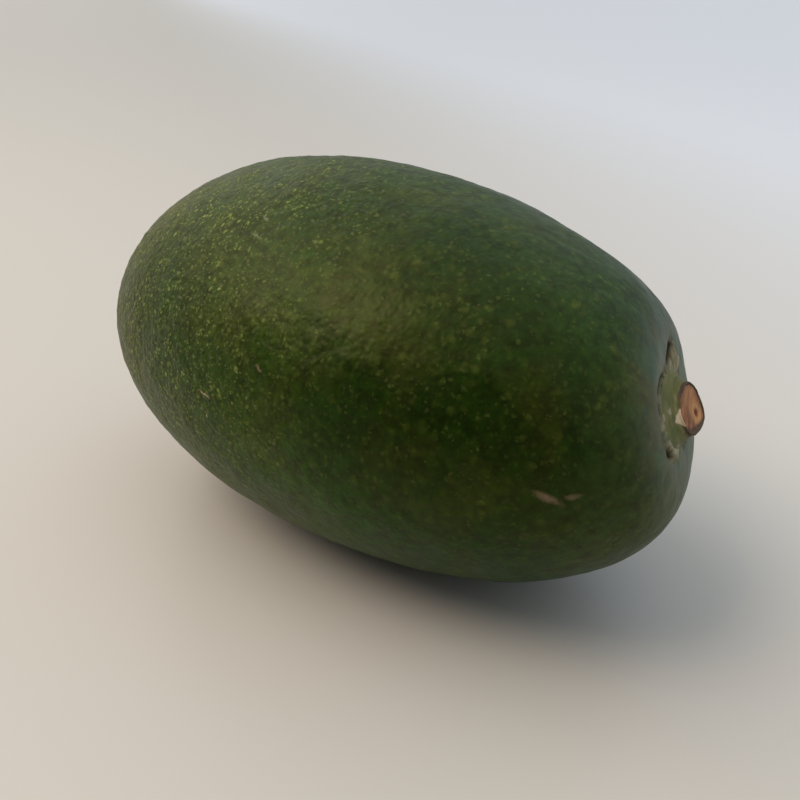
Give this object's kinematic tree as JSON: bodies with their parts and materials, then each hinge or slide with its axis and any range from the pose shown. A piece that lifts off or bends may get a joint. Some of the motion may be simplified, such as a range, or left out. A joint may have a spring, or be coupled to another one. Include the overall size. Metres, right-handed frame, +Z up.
{
  "type": "avocado",
  "caption": "Whole smooth green avocado, an oblong fruit with a blunt stem end and a cut stem stub, lying on its side.",
  "frame": {"origin": "under the middle of the whole avocado, in the plane of the small flat spot it rests on", "axes": "+X along the fruit from the blossom end to the stem end, +Z up as it lies"},
  "size_m": [0.1222, 0.0754, 0.0718],
  "materials": {
    "avocado_skin": "waxy, low sheen, dark green with fine yellow-green specks",
    "cut_stalk": "matte, olive green bark with brown cut wood"
  },
  "bodies": {
    "root": {"fruit": "avocado_skin", "stem": "cut_stalk"}
  },
  "joints": []
}
